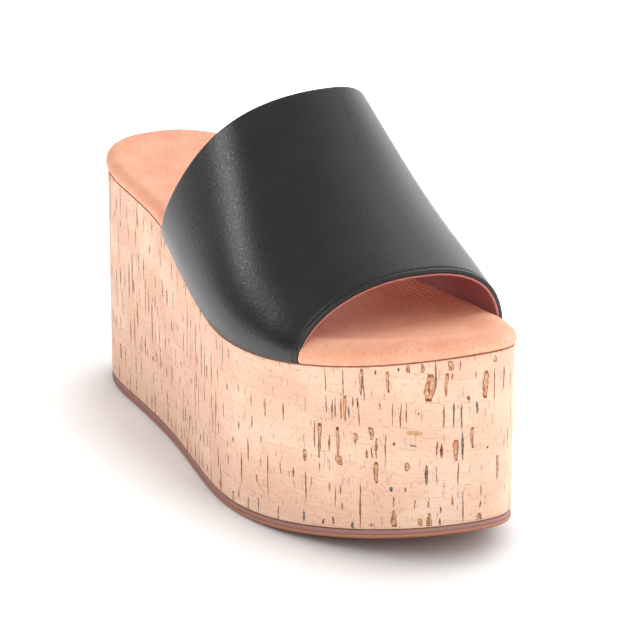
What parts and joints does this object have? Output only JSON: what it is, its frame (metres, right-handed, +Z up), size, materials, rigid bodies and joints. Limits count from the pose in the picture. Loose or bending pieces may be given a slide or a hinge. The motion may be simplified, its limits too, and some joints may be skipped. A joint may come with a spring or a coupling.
{
  "type": "platform mule sandal",
  "caption": "Right-foot mule sandal with one wide leather band over a padded insole, on a tall cork platform with a thin rubber outsole.",
  "frame": {"origin": "middle of the shoe's box on the floor it stands on", "axes": "+Z up, -Y to the toe, +Y to the heel, -X to the outer side of the foot"},
  "size_m": [0.0942, 0.2508, 0.1462],
  "materials": {
    "brown_rubber": "satin",
    "natural_cork": "matte",
    "coral_leather": "matte",
    "black_leather": "satin"
  },
  "bodies": {
    "root": {"outsole": "brown_rubber", "platform": "natural_cork", "insole": "coral_leather", "upper": "black_leather"}
  },
  "joints": []
}
